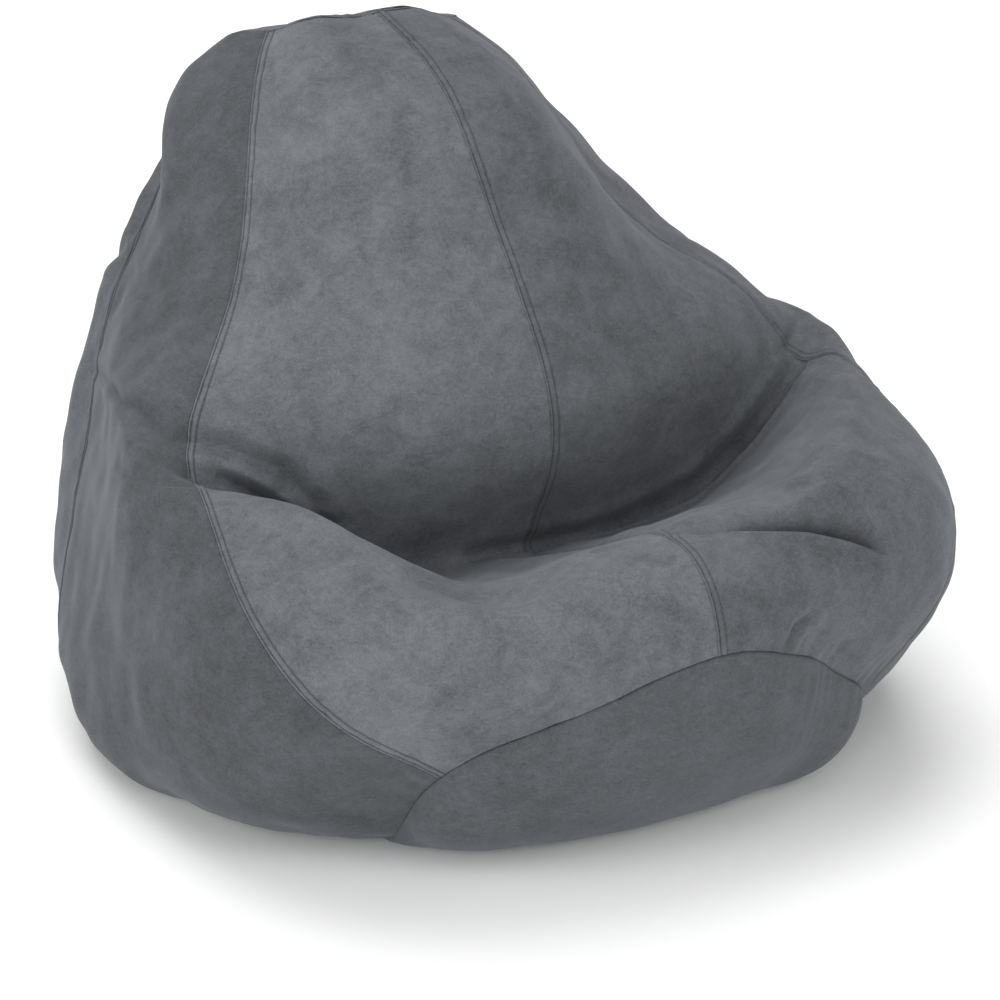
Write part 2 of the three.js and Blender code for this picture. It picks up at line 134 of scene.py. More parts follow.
# Soft pushes that take the bag out of symmetry, as it was last sat in:
# (angle, level, spread in degrees, spread in levels, push in mm).
PUSHES = [
    (270, 10.3, 30, 1.2, (-28, 8, 4)),  # left shoulder of the crown, fuller
    (180, 11, 60, 1.5, (0, 0, -14)),  # cap, tipped back
    (318, 11, 20, 0.8, (-4, 0, 8)),  # edge of the crown, higher on the left
    (286, 11, 18, 0.8, (-3, 0, 12)),
    (0, 9.6, 22, 1.2, (-10, 0, 0)),  # upright seams, drawn aside
    (300, 9.4, 10, 1.4, (7, 0, 0)),
    (300, 6.5, 9, 0.6, (-11, 3, 0)),
    (240, 4.5, 20, 5, (30, 80, 0)),  # hides the seam behind the left arm
    (252, 4.4, 26, 1.1, (9, 0, 0)),  # left side, slimmer there
    (345, 11, 16, 0.8, (0, 0, -5)),  # edge of the crown, lower in front
    (45, 9.3, 28, 1.8, (-26, 10, 0)),  # right shoulder, slimmer
    (62, 8.2, 16, 1.6, (-20, 6, -6)),
    (88, 6.6, 16, 1.0, (-10, 0, -16)),
    (66, 5.2, 20, 1.2, (14, 0, 10)),  # right arm, fuller at its back
    (35, 4.6, 14, 1.0, (0, -6, 16)),  # and on top
    (36, 5.9, 24, 0.8, (0, 0, -11)),  # foot of the back, lower
    (28, 3.5, 10, 0.6, (0, -6, 12)),
    (315, 5.0, 11, 0.8, (0, 0, 13)),  # left arm, where it meets the seat
    (335, 0, 20, 0.8, (0, 0, -10)),  # base seam, lower in front
    (20, 0, 12, 0.6, (0, 0, -6)),
    (333, 4.2, 13, 1.4, (0, -12, -46)),  # dip in the front roll, left of the front seam
    (346, 5.2, 12, 0.5, (0, 0, -16)),
    (357, 4.2, 9, 1.2, (0, 0, -13)),
    (268, 1.9, 26, 1.0, (-30, -2, -14)),  # left side, fuller low down
    (250, 2.2, 16, 0.8, (-21, 0, -5)),
    (275, 0, 18, 0.7, (12, 36, 0)),
    (262, 0.6, 14, 0.8, (8, 20, 8)),
    (245, 2.5, 16, 0.9, (-6, 22, 4)),
    (266, 1.6, 8, 0.6, (6, 16, 9)),  # its corner, rounder
    (281, 0.2, 9, 0.8, (0, -2, -30)),  # and down to the floor beside the base seam
    (75, 0.3, 22, 1.2, (-16, 6, 0)),  # right side, slimmer low down
    (66, 0, 16, 0.9, (-18, 8, 4)),
    (38, 0, 9, 0.5, (-12, 6, 0)),
    (50, 0, 18, 0.8, (-10, 0, -22)),  # base seam: lower on the right, higher on the left
    (300, 0, 25, 1.0, (0, 10, 14)),
]

# Creases in the cloth: (half width below and above the route in mm, depth in mm, route as (angle, level)
# points). Where one side is much narrower, the cloth there laps over the other side in a crisp edge.
CREASES = [
    (4, 20, 9, [(0, 3.7), (5, 3.25), (13.5, 2.95), (21, 2.77), (27, 2.45), (34, 2.0)]),  # under the right arm
    (4, 13, 20, [(9, 3.1), (13.5, 2.95), (21, 2.77), (27, 2.45), (34, 2.0), (36, 1.85)]),
    # from the left arm
    (9, 12, 11, [(297, 6.45), (302, 6.52), (307.5, 6.62), (318, 6.66), (324, 6.5), (328, 6.4)]),
    (8, 8, 13, [(306.5, 6.33), (310.5, 6.33), (316.5, 6.33), (322, 6.36), (328, 6.42)]),
    # foot of the back
    (4, 14, 20, [(350, 6.05), (10, 6.0), (22, 6.04), (33, 6.06), (45, 6.05), (52, 5.96), (60, 5.72)]),
    (7, 7, 7, [(82, 5.8), (70, 6.05), (58.5, 6.25)]),  # right shoulder
    (6, 6, 4, [(42, 10.95), (28, 10.6), (18, 10.15)]),  # crown
    (15, 15, 4, [(302, 10.1), (315, 9.8), (329, 9.4)]),
    (15, 15, 4, [(303, 9.68), (315, 9.4), (327, 9.08)]),
    (6, 6, 3, [(1.5, 9.74), (5, 9.75), (10, 9.8)]),
    (7, 9, 8, [(238, 5.65), (264, 6.0), (280, 6.33), (291, 6.33), (296, 6.25)]),  # left arm
    (3, 12, 4, [(268, 4.9), (280, 4.8), (288, 4.75), (300, 4.85)]),
    (10, 16, 7, [(95, 2.2), (112, 1.85), (128, 2.0)]),  # soft folds in the hidden sides
    (10, 16, 7, [(148, 1.75), (168, 1.45), (186, 1.6)]),
    (9, 14, 6, [(236, 1.9), (218, 1.5), (202, 1.62)]),
    (9, 13, 6, [(126, 8.2), (140, 7.8), (154, 7.95)]),
    (9, 13, 6, [(234, 7.6), (218, 7.2), (204, 7.3)]),
    (5, 10, 9, [(17.5, 0.02), (19, 0.33), (20, 0.58), (22.5, 0.76), (25, 1.0)]),  # pucker over the base seam
]
CREASE_SHOULDER = 0.3  # how high the cloth stands up beside a crease, as a share of its depth
CREASE_STEPS = 8  # fine points for each point of a crease's route

GATHER_HEIGHT = 1.1  # mm
GATHER_REACH = 45  # mm from the base seam
GATHER_WAVES = 12
GATHER_RATES = (48, 110)  # range of each wave's count round the bag
GATHER_SUM = 3  # about how high the waves' sum is


def spline_matrix(count, closed, at):
    """Weights of a natural cubic through count points: one row for each position in at, counted in points."""
    slope_terms = np.zeros((count, count))
    rise_terms = np.zeros((count, count))
    for i in range(count):
        before, after = (i - 1) % count, (i + 1) % count
        if closed or 0 < i < count - 1:
            slope_terms[i, i] = 4
            slope_terms[i, before] += 1
            slope_terms[i, after] += 1
            rise_terms[i, after] += 3
            rise_terms[i, before] -= 3
        else:
            inner, sign = (1, 1) if i == 0 else (count - 2, -1)
            slope_terms[i, i], slope_terms[i, inner] = 2, 1
            rise_terms[i, inner], rise_terms[i, i] = 3 * sign, -3 * sign
    slopes = np.linalg.solve(slope_terms, rise_terms)
    floor = np.floor(at).astype(int)
    left = floor % count if closed else np.clip(floor, 0, count - 2)
    right = (left + 1) % count
    f = (at - floor if closed else at - left)[:, None]
    rise = f * f * (3 - 2 * f)
    unit = np.eye(count)
    return (unit[left] * (1 - rise) + unit[right] * rise
            + slopes[left] * f * (1 - f) ** 2 - slopes[right] * f * f * (1 - f))


def side_grid():
    """The side of the bag from the base seam to the cap seam, in mm."""
    half = np.array(OUTLINES, float)
    other_half = half[-2:0:-1] * (-1, 1, 1)
    table = np.concatenate([half, other_half])
    around = spline_matrix(MERIDIANS, True, np.arange(COLUMNS) * MERIDIANS / COLUMNS)
    up = spline_matrix(LEVELS, False, np.arange(ROWS + 1) / ROWS_PER_LEVEL)
    grid = np.einsum("ca,abk,rb->crk", around, table, up)
    grid[..., 2] = np.maximum(grid[..., 2], 0)
    return grid


def base_grid(seam, unit=MM):
    """The base, from its seam (row 0) to its middle. It comes down in an arc where the seam is lifted."""
    middle = np.array([0, seam[ZIP_COLUMN, 1], 0])
    feet = seam * (1, 1, 0)
    lift = seam[:, 2:]
    tuck = TUCK_AT_FLOOR + TUCK_PER_LIFT * (lift / (FULL_LIFT * unit)) ** TUCK_POWER
    touch = feet + (middle - feet) * tuck
    rows = []
    for angle in np.linspace(0, math.pi / 2, BASE_ARC_ROWS + 1):
        row = touch + (feet - touch) * math.cos(angle)
        row[:, 2:] = lift * (1 - math.sin(angle))
        rows.append(row)
    for share in np.linspace(0, 1, BASE_FLAT_ROWS + 1)[1:]:
        rows.append(touch + (middle - touch) * share)
    return np.stack(rows, 1)


def cap_grid(seam, unit=MM):
    """The cap, from the cap seam (row 0) to its middle, slightly domed."""
    share = np.linspace(0, 1, CAP_ROWS + 1)[None, :, None]
    dome = (1 - (1 - share) ** 2) * np.array([0, 0, CAP_DOME * unit])
    return seam[:, None] + (seam.mean(0) - seam[:, None]) * share + dome


def fitted_side():
    """The side grid in metres, scaled and centred as the whole bag is in the CAD box."""
    grid = side_grid()
    whole = np.concatenate([grid.reshape(-1, 3), base_grid(grid[:, 0], 1).reshape(-1, 3),
                            cap_grid(grid[:, -1], 1).reshape(-1, 3)])
    low, high = whole.min(0), whole.max(0)
    cad_low, cad_high = np.array(cad_box)
    return (grid - low) * (cad_high - cad_low) / (high - low) + cad_low


def push_grid(grid):
    """Applies the soft pushes to the side grid."""
    angles = (np.arange(COLUMNS) * 360 / COLUMNS)[:, None]
    levels = (np.arange(ROWS + 1) / ROWS_PER_LEVEL)[None]
    out = grid.copy()
    for angle, level, spread, level_spread, push in PUSHES:
        turn = (angles - angle + 180) % 360 - 180
        weight = np.exp(-((turn / spread) ** 2) - ((levels - level) / level_spread) ** 2)
        out += weight[..., None] * np.array(push) * MM
    out[..., 2] = np.maximum(out[..., 2], 0)
    return out


# ---- smooth surfaces from grids


class Skin:
    """A smooth surface through a grid that is closed round its columns. u counts columns, v counts rows."""

    def __init__(self, points, outward=1):
        self.points = points
        self.columns, self.rows = points.shape[0], points.shape[1] - 1
        along = np.roll(points, -1, 0) - np.roll(points, 1, 0)
        normals = np.cross(along, np.gradient(points, axis=1)) * outward
        length = np.linalg.norm(normals, axis=2, keepdims=True)
        self.normals = np.where(length > 1e-12, normals / np.maximum(length, 1e-12), 0)
        if np.abs(self.normals[:, -1]).max() == 0:  # the last row is one point
            self.normals[:, -1] = self.normals[:, -2].mean(0)

    def _sample(self, grid, u, v):
        """The grid's values between its points, carried on straight past its first and last rows."""
        before_first, after_last = 2 * grid[:, :1] - grid[:, 1:2], 2 * grid[:, -1:] - grid[:, -2:-1]
        padded = np.concatenate([before_first, grid, after_last], 1)
        i, j = np.floor(u).astype(int), np.clip(np.floor(v).astype(int), 0, self.rows - 1)
        total = 0
        for a, weight_u in enumerate(self._weights(u - i)):
            for b, weight_v in enumerate(self._weights(v - j)):
                total = total + (weight_u * weight_v)[..., None] * padded[(i + a - 1) % self.columns, j + b]
        return total

    @staticmethod
    def _weights(f):
        """Catmull-Rom weights."""
        return (-0.5 * f + f * f - 0.5 * f ** 3, 1 - 2.5 * f * f + 1.5 * f ** 3,
                0.5 * f + 2 * f * f - 1.5 * f ** 3, -0.5 * f * f + 0.5 * f ** 3)

    def at(self, u, v):
        """Points and unit normals."""
        u, v = np.broadcast_arrays(np.asarray(u, float), np.asarray(v, float))
        normal = self._sample(self.normals, u, v)
        return self._sample(self.points, u, v), normal / np.linalg.norm(normal, axis=-1, keepdims=True)


def join_normals(skins_and_rows):
    """Gives two skins that meet at a seam the same normals there. Each is given with its row at the seam."""
    (first, first_row), (second, second_row) = skins_and_rows
    normals = first.normals[:, first_row] + second.normals[:, second_row]
    normals /= np.linalg.norm(normals, axis=1, keepdims=True)
    first.normals[:, first_row] = second.normals[:, second_row] = normals


def ramp(x, low, high):
    """0 below low, 1 above high and a smooth step between them."""
    t = np.clip((x - low) / (high - low), 0, 1)
    return t * t * (3 - 2 * t)


def bump(x, width):
    """1 at 0, falling off smoothly to both sides."""
    return np.exp(-((x / width) ** 2))


def waves(points, size, seed, count=14):
    """A smooth random field of about unit height, with swells of about the given size."""
    random = np.random.default_rng(seed)
    total = np.zeros(points.shape[:-1])
    for _ in range(count):
        direction = random.normal(size=3)
        direction *= random.uniform(0.6, 1.4) * math.pi / (size * np.linalg.norm(direction))
        total += np.sin(points @ direction + random.uniform(0, 2 * math.pi))
    return total * math.sqrt(2 / count)


def gathers(u):
    """Small folds that the base seam draws into the cloth, in mm, at columns u of the working grid."""
    random = np.random.default_rng(seed=4)
    rates = random.choice(np.arange(*GATHER_RATES), GATHER_WAVES, replace=False)
    phases = random.uniform(0, 2 * math.pi, GATHER_WAVES)
    folds = sum(np.sin(2 * math.pi * rate * u / COLUMNS + phase) for rate, phase in zip(rates, phases))
    return GATHER_HEIGHT * folds / GATHER_SUM


def crease_lines(skin):
    """Each crease's half widths, its depth, and its fine polyline on the skin, as points and as grid rows."""
    lines = []
    for below, above, depth, route in CREASES:
        stops = np.arange(len(route))
        fine = np.linspace(0, len(route) - 1, CREASE_STEPS * len(route))
        angles = np.interp(fine, stops, np.unwrap([angle for angle, _ in route], period=360))
        rows = np.interp(fine, stops, [level for _, level in route]) * ROWS_PER_LEVEL
        points, _ = skin.at(angles % 360 * COLUMNS / 360, rows)
        lines.append((below * MM, above * MM, depth * MM, points, rows))
    return lines


def crease_depth(points, rows, lines):
    """How far the creases press the cloth in: a valley between soft shoulders, fading out at its ends."""
    total = np.zeros(points.shape[:-1])
    rows = np.broadcast_to(rows, total.shape)
    for below, above, depth, line, line_rows in lines:
        reach = 5 * max(below, above)
        near_box = ((points > line.min(0) - reach) & (points < line.max(0) + reach)).all(-1)
        near = points[near_box]
        if not len(near):
            continue
        best = np.full(len(near), np.inf)
        along = np.zeros(len(near))
        width = np.ones(len(near))
        for k, (a, b) in enumerate(zip(line[:-1], line[1:])):
            step = b - a
            t = np.clip((near - a) @ step / (step @ step), 0, 1)
            off = near - (a + t[:, None] * step)
            distance = np.linalg.norm(off, axis=1)
            closer = distance < best
            along[closer] = (k + t[closer]) / (len(line) - 1)
            line_row = line_rows[k] + t * (line_rows[k + 1] - line_rows[k])
            width[closer] = np.where(rows[near_box] > line_row, above, below)[closer]
            best = np.minimum(distance, best)
        fade = np.sin(math.pi * along) ** 0.5
        off = best / width
        total[near_box] += depth * fade * (np.exp(-off ** 1.5) - CREASE_SHOULDER * bump(off - 2, 1))
    return total


# ---- the filled cover, by cloth simulation

SIM_FRAMES = 20
SIM_LIMIT = 12 * MM  # the furthest that any point may move
SPARE_CLOTH = 0.012
SIM_SMOOTHING = 3
HOLD_SEAM, HOLD_CLOTH, HOLD_ON_FLOOR = 0.9, 0.25, 1


def closed_mesh(base, side, cap):
    """One closed mesh of the whole bag: rings of vertices from the base's middle to the cap's middle."""
    rings = [base[:, k] for k in range(BASE_ROWS - 1, 0, -1)]
    rings += [side[:, k] for k in range(ROWS + 1)]
    rings += [cap[:, k] for k in range(1, CAP_ROWS)]
    vertices = np.concatenate(rings + [base[:1, -1], cap[:1, -1]])
    faces = []
    for ring in range(len(rings) - 1):
        for c in range(COLUMNS):
            n = (c + 1) % COLUMNS
            here, above = ring * COLUMNS, (ring + 1) * COLUMNS
            faces.append((here + c, here + n, above + n, above + c))
    last, bottom, top = (len(rings) - 1) * COLUMNS, len(vertices) - 2, len(vertices) - 1
    for c in range(COLUMNS):
        n = (c + 1) % COLUMNS
        faces.append((n, c, bottom))
        faces.append((last + c, last + n, top))
    mesh = bpy.data.meshes.new("bag_work")
    mesh.from_pydata(vertices.tolist(), [], faces)
    return mesh


def grids_of(vertices):
    """The base, side and cap grids, from the closed mesh's vertices."""
    rings = vertices[:-2].reshape(-1, COLUMNS, 3).transpose(1, 0, 2)
    seam = BASE_ROWS - 1
    bottom = np.broadcast_to(vertices[-2], (COLUMNS, 1, 3))
    top = np.broadcast_to(vertices[-1], (COLUMNS, 1, 3))
    base = np.concatenate([rings[:, seam::-1], bottom], 1)
    cap = np.concatenate([rings[:, seam + ROWS:], top], 1)
    return base, rings[:, seam:seam + ROWS + 1], cap


def simulate(bag, before):
    """Runs the cloth on the bag and returns where its vertices end up."""
    cloth = bag.modifiers.new("cloth", "CLOTH")
    settings = cloth.settings
    settings.quality = 4
    settings.mass = 0.02
    settings.tension_stiffness = settings.compression_stiffness = 10
    settings.shear_stiffness = 5
    settings.bending_stiffness = 1.5
    settings.air_damping = 2
    settings.use_pressure = True
    settings.uniform_pressure_force = 4
    settings.vertex_group_mass = "hold"
    settings.pin_stiffness = 0.6
    settings.shrink_min = -SPARE_CLOTH
    settings.effector_weights.gravity = 0
    cloth.collision_settings.use_collision = False
    cloth.point_cache.frame_start, cloth.point_cache.frame_end = 1, SIM_FRAMES
    for number in range(1, SIM_FRAMES + 1):
        bpy.context.scene.frame_set(number)
    settled = bag.evaluated_get(bpy.context.evaluated_depsgraph_get())
    after = np.empty(before.size)
    settled.data.vertices.foreach_get("co", after)
    bpy.context.scene.frame_set(1)
    return after.reshape(-1, 3)


def smoothed(rings):
    """Averages a [ring, column, xyz] field with its neighbours."""
    for _ in range(SIM_SMOOTHING):
        rings = (2 * rings + np.roll(rings, 1, 1) + np.roll(rings, -1, 1)) / 4
        padded = np.concatenate([rings[:1], rings, rings[-1:]])
        rings = (2 * rings + padded[:-2] + padded[2:]) / 4
    return rings


def inflate(base, side, cap):
    """Blows up the cover by Blender's cloth, held softly all over, harder at its seams and on the floor."""
    mesh = closed_mesh(base, side, cap)
    bag = new_object("bag_work", mesh)
    before = np.empty(len(mesh.vertices) * 3)
    mesh.vertices.foreach_get("co", before)
    before = before.reshape(-1, 3)
    ring, column = np.divmod(np.arange(len(before)), COLUMNS)
    seam_ring = BASE_ROWS - 1
    on_upright_seam = (column % PANEL_COLUMNS == 0) & (ring >= seam_ring)
    on_seam = on_upright_seam | np.isin(ring, [seam_ring, seam_ring + ROWS])
    hold = np.where(on_seam, HOLD_SEAM, HOLD_CLOTH)
    hold[before[:, 2] < 2 * MM] = HOLD_ON_FLOOR
    group = bag.vertex_groups.new(name="hold")
    for level in np.unique(hold):
        group.add(np.flatnonzero(hold == level).tolist(), float(level), "REPLACE")
    move = simulate(bag, before) - before
    bpy.data.objects.remove(bag)
    move *= np.minimum(1, SIM_LIMIT / np.maximum(np.linalg.norm(move, axis=1, keepdims=True), MM))
    move[:-2] = smoothed(move[:-2].reshape(-1, COLUMNS, 3)).reshape(-1, 3)
    settled = before + move
    settled[:, 2] = np.maximum(settled[:, 2], 0)
    return grids_of(settled)


# ---- meshes

CLOTH = 1.6 * MM
ROWS_MM = 11  # about how long one row of the working grid is
BASE_ROWS_MM = 22  # and one row of the base or the cap

# The cover's relief, all in mm.
SEAM_DEPTH, SEAM_WIDTH = 0.7, 0.8
STITCH_ROWS = (3.2, 11.2)  # from the seam, on the panel that starts at it
STITCH_DEPTH, STITCH_WIDTH = 1.3, 1.0
BAND_HEIGHT = 0.9  # between the rows of stitches
BAND_EDGE = 2  # to each side of the outer row, where the band ends
EDGE_HEIGHT, EDGE_WIDTH, EDGE_PLACE = 0.9, 0.9, 1.6  # the folded edge beside the seam
PUCKER_HEIGHT, SWELL_HEIGHT, RIPPLE_HEIGHT = 0.4, 1.1, 0.42
SEAM_REACH = 30  # how far from a seam its puckers reach
SWELL_START = 40  # how far from a seam the swells are at their full height
# Painted shade in the seam and the stitch grooves, and a painted highlight on the folded edge.
SEAM_SHADE, STITCH_SHADE, EDGE_PAINTED_HIGHLIGHT = 0.15, 0.75, 0.4  # how much each darkens or lightens the cloth
ROUND_SEAM_WIDTH = 1.6  # on the base and the cap
BASE_SWELL_HEIGHT = 0.8

# Where the panels' grids have their columns and rows.
FIRST_EDGE = (0, 0.5, 1, 1.5, 2.1, 2.6, 3.2, 3.8, 4.5, 6, 8, 9.6, 10.4, 11.2, 12, 12.9, 14.5, 17, 20)
LAST_EDGE = (0, 0.5, 1.2, 2.4, 4, 6.5, 10, 14.5, 20)
MIDDLE_COLUMNS = {"front": 180, "other": 96}
ROW_STEP = {"front": 0.25, "other": 0.5}
FOLD_ROWS = (68.4, 73.2, 0.08)  # first, last and step of the extra rows where the back folds over the seat
EDGE_ROWS = (0, 0.08, 0.16, 0.3, 0.5)  # extra rows at the base seam and the cap seam, in grid rows


def new_piece(name, vertices, faces, material, nodes=(), painted_shading=None):
    """The painted shading of grooves and folded edges is given for the outside of a sheet, and its inside
    gets the same.
    """
    mesh = bpy.data.meshes.new(name)
    mesh.from_pydata(np.asarray(vertices).tolist(), [], faces)
    mesh.polygons.foreach_set("use_smooth", [True] * len(mesh.polygons))
    mesh.materials.append(material)
    if painted_shading is not None:
        shade = mesh.attributes.new("painted_shading", "FLOAT", "POINT")
        shade.data.foreach_set("value", np.tile(np.ravel(painted_shading), 2))
    mesh.update()
    piece = new_object(name, mesh)
    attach(piece, BODY)
    if nodes:
        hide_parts(*nodes)
    return piece


def shell(outer, inner, closed=False):
    """Vertices and faces of the body between two grids of points. closed joins last column to first."""
    columns, rows = outer.shape[:2]
    count = columns * rows
    last = columns if closed else columns - 1

    def index(c, r):
        return (c % columns) * rows + r

    faces = []
    for c in range(last):
        for r in range(rows - 1):
            a, b, d, e = index(c, r), index(c + 1, r), index(c + 1, r + 1), index(c, r + 1)
            faces.append((a, b, d, e))
            faces.append((e + count, d + count, b + count, a + count))
    for c in range(last):
        for r, turned in ((0, False), (rows - 1, True)):
            a, b = index(c, r), index(c + 1, r)
            if turned:
                a, b = b, a
            faces.append((b, a, a + count, b + count))
    if not closed:
        for r in range(rows - 1):
            for c, turned in ((0, True), (columns - 1, False)):
                a, b = index(c, r), index(c, r + 1)
                if turned:
                    a, b = b, a
                faces.append((b, a, a + count, b + count))
    return np.concatenate([outer.reshape(-1, 3), inner.reshape(-1, 3)]), faces


def on_floor(points):
    """Keeps points from going below the floor."""
    points[..., 2] = np.maximum(points[..., 2], 0)
    return points


class Panel:
    """One gore of the cover, from the seam at the working grid's column first to the next upright seam."""

    def __init__(self, skin, number, lines):
        self.skin, self.lines = skin, lines
        self.first = number * PANEL_COLUMNS
        self.fineness = "front" if number in (0, PANELS - 1) else "other"
        inner = np.arange(1, ROWS, ROW_STEP[self.fineness])
        if self.fineness == "front":
            inner = np.union1d(inner, np.arange(*FOLD_ROWS))
        self.v = np.concatenate([EDGE_ROWS, inner, ROWS - np.array(EDGE_ROWS[::-1])])
        self.u_steps = np.linspace(self.first, self.first + PANEL_COLUMNS, 4 * PANEL_COLUMNS + 1)
        points, _ = skin.at(self.u_steps[:, None], self.v[None])
        steps = np.linalg.norm(np.diff(points, axis=0), axis=2)
        self.lengths = np.concatenate([np.zeros((1, len(self.v))), steps.cumsum(0)])

    def surface(self, distances):
        """Points, normals and painted shading for each row, at distances in metres from the first seam. The
        painted shading darkens the grooves and lightens the folded edge as a painted highlight.
        """
        u = np.stack([np.interp(distances[:, r], self.lengths[:, r], self.u_steps)
                      for r in range(len(self.v))], 1)
        points, normals = self.skin.at(u, self.v[None])
        from_first = distances / MM
        from_last = (self.lengths[-1] - distances) / MM
        end = np.minimum(self.v, ROWS - self.v) * ROWS_MM
        lift, painted_shading = self.relief(points, from_first, from_last, end)
        lift += gathers(u) * np.exp(-self.v * ROWS_MM / GATHER_REACH) * ramp(end, 0, 5)
        lift = lift * MM - crease_depth(points, self.v, self.lines)
        return on_floor(points + normals * lift[..., None]), normals, painted_shading

    @staticmethod
    def relief(points, from_first, from_last, from_end):
        """How far the cloth stands out from the skin, in mm, and its painted shading: painted shade in the
        grooves and a painted highlight on the folded edge.
        """
        nearest = np.minimum(from_first, from_last)
        seam = bump(np.minimum(nearest, from_end), SEAM_WIDTH)
        stitched = sum(bump(from_first - row, STITCH_WIDTH) for row in STITCH_ROWS)
        past_band = ramp(from_first, STITCH_ROWS[1] - BAND_EDGE, STITCH_ROWS[1] + BAND_EDGE)
        band = ramp(from_first, *STITCH_ROWS) * (1 - past_band)
        folded_edge = bump(from_first - EDGE_PLACE, EDGE_WIDTH)
        near_seam = 1 - ramp(nearest, 2, SEAM_REACH)
        pucker = waves(points, 11 * MM, seed=5) * near_seam * ramp(nearest, 0, 4)
        swell = waves(points, 60 * MM, seed=6) * SWELL_HEIGHT
        swell += waves(points, 26 * MM, seed=7) * RIPPLE_HEIGHT
        lift = (BAND_HEIGHT * band + EDGE_HEIGHT * folded_edge - SEAM_DEPTH * seam - STITCH_DEPTH * stitched
                + PUCKER_HEIGHT * pucker + swell * ramp(nearest, 0, SWELL_START))
        # Painted shade in the seam and the stitch rows, and a painted highlight on the folded edge beside the
        # seam.
        painted_shading = SEAM_SHADE * seam + STITCH_SHADE * stitched - EDGE_PAINTED_HIGHLIGHT * folded_edge
        return lift, np.clip(painted_shading, -1, 1)

    def mesh_grid(self):
        """Points, normals and painted shading of the panel's grid, its columns close together at the seams.
        """
        width = self.lengths[-1]
        near = np.array(FIRST_EDGE) * MM
        far = np.array(LAST_EDGE[::-1]) * MM
        shares = np.linspace(0, 1, MIDDLE_COLUMNS[self.fineness] + 2)[1:-1, None]
        rows = np.ones(len(self.v))
        between = near[-1] + shares * (width - far[0] - near[-1])
        return self.surface(np.concatenate([near[:, None] * rows, between, width - far[:, None] * rows]))


PANEL_NAMES = ("panel_front_right", "panel_right", "panel_back_right",
               "panel_back_left", "panel_left", "panel_front_left")
SEAM_NAMES = ("front", "front_right", "back_right", "back", "back_left", "front_left")
BACK_LEFT = PANEL_NAMES.index("panel_back_left")


def build_panels(skin, lines):
    """The six gores, each a sheet of cloth of its own."""
    panels = []
    for number, name in enumerate(PANEL_NAMES):
        panel = Panel(skin, number, lines)
        points, normals, painted_shading = panel.mesh_grid()
        vertices, faces = shell(points, points - normals * CLOTH)
        visual = name.replace("panel", "cover")
        material = suede("suede_" + visual, PANEL_PAINTED_LIGHT_TONES[name])
        new_piece(visual, vertices, faces, material, [name], painted_shading)
        panels.append(panel)
    return panels


STITCH_PITCH = 5.8 * MM
STITCH_LENGTH = 3.7 * MM
THREAD = 0.55 * MM  # radius
THREAD_SIDES = 6

# A stitch from end to end: places as shares of its length, heights and sizes in thread radii.
STITCH_PLACES = (0, 0.12, 0.5, 0.88, 1)
STITCH_HEIGHTS = (-0.9, 0.1, 0.45, 0.1, -0.9)
STITCH_SIZES = (0.5, 0.9, 1, 0.9, 0.5)


def stitches_along(line, normals):
    """A row of thread stitches, each dipping into the cloth at both ends. Returns vertices and faces."""
    steps = np.linalg.norm(np.diff(line, axis=0), axis=1)
    length = np.concatenate([[0], steps.cumsum()])
    starts = np.arange(STITCH_PITCH, length[-1] - STITCH_PITCH, STITCH_PITCH)
    places = (starts[:, None] + np.array(STITCH_PLACES) * STITCH_LENGTH).ravel()

    def along(values):
        return np.stack([np.interp(places, length, values[:, k]) for k in range(3)], 1)

    centre, up = along(line), along(normals)
    up /= np.linalg.norm(up, axis=1, keepdims=True)
    tangent = along(np.gradient(line, axis=0))
    side = np.cross(tangent, up)
    side /= np.linalg.norm(side, axis=1, keepdims=True)
    centre = centre + up * np.tile(STITCH_HEIGHTS, len(starts))[:, None] * THREAD
    size = np.tile(STITCH_SIZES, len(starts))[:, None] * THREAD
    turn = (np.arange(THREAD_SIDES) * 2 * math.pi / THREAD_SIDES)[None, :, None]
    round_ring = np.cos(turn) * side[:, None] + np.sin(turn) * up[:, None]
    rings = centre[:, None] + size[:, None] * round_ring
    faces = []
    stations = len(STITCH_PLACES)
    for stitch in range(len(starts)):
        first = stitch * stations * THREAD_SIDES
        for k in range(stations - 1):
            for s in range(THREAD_SIDES):
                a, b = first + k * THREAD_SIDES + s, first + k * THREAD_SIDES + (s + 1) % THREAD_SIDES
                faces.append((b, a, a + THREAD_SIDES, b + THREAD_SIDES))
        faces.append(tuple(first + s for s in range(THREAD_SIDES)))
        end = first + (stations - 1) * THREAD_SIDES
        faces.append(tuple(end + s for s in reversed(range(THREAD_SIDES))))
    return on_floor(rings.reshape(-1, 3)), faces


def build_topstitching(panels):
    """Two rows of stitches beside each upright seam."""
    thread = thread_material()
    for panel, name in zip(panels, SEAM_NAMES):
        vertices, faces = [], []
        for row in STITCH_ROWS:
            points, normals, _ = panel.surface(np.full((1, len(panel.v)), row * MM))
            more_vertices, more_faces = stitches_along(points[0], normals[0])
            offset = sum(len(v) for v in vertices)
            vertices.append(more_vertices)
            faces += [tuple(i + offset for i in face) for face in more_faces]
        new_piece("topstitch_" + name, np.concatenate(vertices), faces, thread)


def rows_from_seam(skin):
    """Rows of a round piece from its seam to its middle, close together at the seam."""
    return np.concatenate([EDGE_ROWS, np.arange(1, skin.rows + 0.25, 0.5)])[None]


